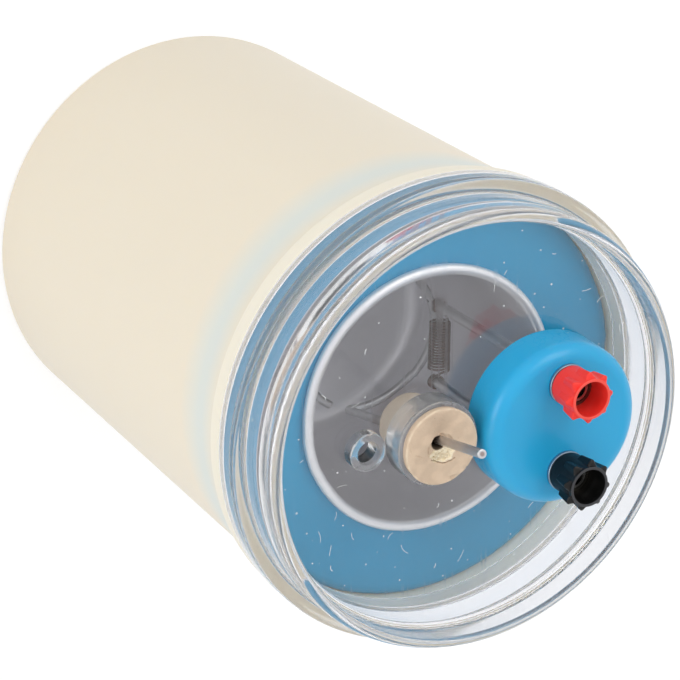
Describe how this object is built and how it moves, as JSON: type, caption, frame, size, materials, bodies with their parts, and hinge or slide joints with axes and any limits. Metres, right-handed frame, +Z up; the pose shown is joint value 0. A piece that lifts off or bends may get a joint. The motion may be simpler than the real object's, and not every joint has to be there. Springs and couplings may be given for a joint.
{
  "type": "electric calorimeter",
  "caption": "Insulating jar with a hanging metal cup and a clear lid carrying a socket terminal head, heater coil, bung, wire stirrer and thermometer port.",
  "frame": {"origin": "middle of the jar's foot, on the surface that it stands on", "axes": "+Z up along the jar's axis, +X from the lid's middle to the terminal head"},
  "size_m": [0.1, 0.1, 0.158],
  "materials": {
    "jar": "translucent cream, soft sheen",
    "collar": "smooth blue",
    "cup": "spun, satin",
    "lid": "clear, lightly scratched",
    "bung": "matt, aged",
    "wire": "drawn wire, dull",
    "head": "glossy blue",
    "stud": "nickel plated",
    "fixing": "plated steel",
    "cap_red": "glossy red",
    "cap_black": "glossy black",
    "bush": "turned brass",
    "rod": "tinned, dull",
    "heater": "oxidised resistance wire"
  },
  "bodies": {
    "jar": {"outer_jar": "jar", "cup_collar": "collar", "inner_cup": "cup"},
    "lid": {"lid": "lid", "bung": "bung", "terminal_head": "head", "red_stud": "stud", "black_stud": "stud", "red_seat_washer": "fixing", "black_seat_washer": "fixing", "red_lock_washer": "fixing", "black_lock_washer": "fixing", "red_nut": "fixing", "black_nut": "fixing", "red_heater_rod": "rod", "black_heater_rod": "rod", "heater_coil": "heater"},
    "stirrer": {"stirrer": "wire"},
    "red_rise": {"red_cap_bush": "bush"},
    "red_cap": {"red_cap": "cap_red"},
    "black_rise": {"black_cap_bush": "bush"},
    "black_cap": {"black_cap": "cap_black"}
  },
  "joints": [
    {"name": "lid_lift", "type": "slide", "parent": "jar", "child": "lid", "axis": [0, 0, 1], "range_m": [0, 0.075]},
    {"name": "stirrer_slide", "type": "slide", "parent": "lid", "child": "stirrer", "axis": [-0.1318, 0.2703, 0.9537], "range_m": [-0.0165, 0.0015]},
    {"name": "red_cap_rise", "type": "slide", "parent": "lid", "child": "red_rise", "axis": [0, 0, 1], "range_m": [0, 0.0014]},
    {"name": "red_cap_turn", "type": "hinge", "parent": "red_rise", "child": "red_cap", "pos_m": [0.0169, 0.0095, 0.1453], "axis": [0, 0, 1], "range_deg": [0, 720]},
    {"name": "black_cap_rise", "type": "slide", "parent": "lid", "child": "black_rise", "axis": [0, 0, 1], "range_m": [0, 0.0014]},
    {"name": "black_cap_turn", "type": "hinge", "parent": "black_rise", "child": "black_cap", "pos_m": [0.0169, -0.0095, 0.1453], "axis": [0, 0, 1], "range_deg": [0, 720]}
  ],
  "couplings": [
    {"joint": "red_cap_turn", "follows": "red_cap_rise", "rad_per_m": 8975.9},
    {"joint": "black_cap_turn", "follows": "black_cap_rise", "rad_per_m": 8975.9}
  ]
}
